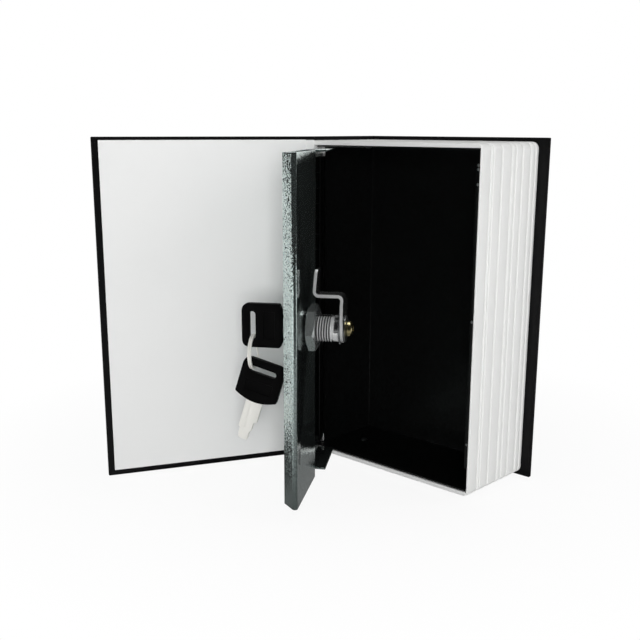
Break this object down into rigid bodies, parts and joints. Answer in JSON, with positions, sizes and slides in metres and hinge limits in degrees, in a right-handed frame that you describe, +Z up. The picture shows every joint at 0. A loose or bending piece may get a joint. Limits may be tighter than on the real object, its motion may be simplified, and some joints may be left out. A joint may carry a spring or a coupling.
{
  "type": "book diversion safe",
  "caption": "Lockable steel box hidden inside a hardback book case, with a hinged steel door, a cam lock, and keys on a split ring.",
  "frame": {"origin": "middle of the lower edge of the spine board, on the surface the book stands on", "axes": "+X from the spine to the fore edge, +Y from the opening side to the back cover, +Z up as the book stands"},
  "size_m": [0.1684, 0.1588, 0.18],
  "materials": {
    "leatherette": "fine-grained black leatherette wrapped round greyboard, matt",
    "endpaper": "uncoated white paper, matt",
    "page_plastic": "white moulded plastic, satin",
    "black_paint": "black hammered stove enamel, semi-gloss",
    "hammertone": "dark grey-green hammered stove enamel, gloss",
    "zinc": "bright zinc plate, satin",
    "chrome": "polished plating",
    "brass_plate": "pale yellow plate, bright",
    "nickel": "nickel plate, fine grain",
    "key_plastic": "black moulded plastic, satin"
  },
  "bodies": {
    "book": {"back_cover": "leatherette", "spine_board": "leatherette", "back_joint": "leatherette", "page_frame": "page_plastic", "steel_box": "black_paint", "lower_rivet": "zinc", "upper_rivet": "zinc", "strike_plate": "black_paint", "box_hinge_leaf": "black_paint", "hinge_pin": "zinc"},
    "cover": {"front_cover": "leatherette", "front_endpaper": "endpaper", "front_joint": "leatherette"},
    "door": {"door_panel": "hammertone", "door_hinge_leaf": "black_paint", "lock_body": "chrome", "lock_nut": "chrome"},
    "lock_core": {"lock_plug": "chrome", "wafer_1": "nickel", "wafer_2": "nickel", "wafer_3": "nickel", "wafer_4": "nickel", "wafer_5": "nickel", "stop_washer": "zinc", "cam": "zinc", "cam_washer": "zinc", "cam_screw": "brass_plate"},
    "key_in_lock": {"key_head": "key_plastic", "key_blade": "nickel"},
    "ring": {"key_ring": "nickel"},
    "second_key": {"spare_key_head": "key_plastic", "spare_key_blade": "nickel"}
  },
  "joints": [
    {"name": "cover_hinge", "type": "hinge", "parent": "book", "child": "cover", "pos_m": [0, -0.02695, 0], "axis": [0, 0, 1], "range_deg": [-63.3, 30]},
    {"name": "door_hinge", "type": "hinge", "parent": "book", "child": "door", "pos_m": [0.00415, -0.02135, 0], "axis": [0, 0, 1], "range_deg": [-35, 57.3]},
    {"name": "lock_turn", "type": "hinge", "parent": "door", "child": "lock_core", "pos_m": [0.04424, -0.08379, 0.0903], "axis": [0.8415, 0.5402, 0], "range_deg": [0, 90]},
    {"name": "key_pull", "type": "slide", "parent": "lock_core", "child": "key_in_lock", "axis": [-0.8415, -0.5402, 0], "range_m": [0, 0.024]},
    {"name": "ring_swing", "type": "hinge", "parent": "key_in_lock", "child": "ring", "pos_m": [0.02741, -0.09459, 0.0813], "axis": [0.8415, 0.5402, 0], "range_deg": [-90, 0]},
    {"name": "spare_key_swing", "type": "hinge", "parent": "ring", "child": "second_key", "pos_m": [0.02741, -0.09459, 0.0687], "axis": [0.5402, -0.8415, 0], "range_deg": [-30, 20]}
  ],
  "couplings": [
    {"joint": "ring_swing", "follows": "lock_turn", "ratio": -1}
  ]
}
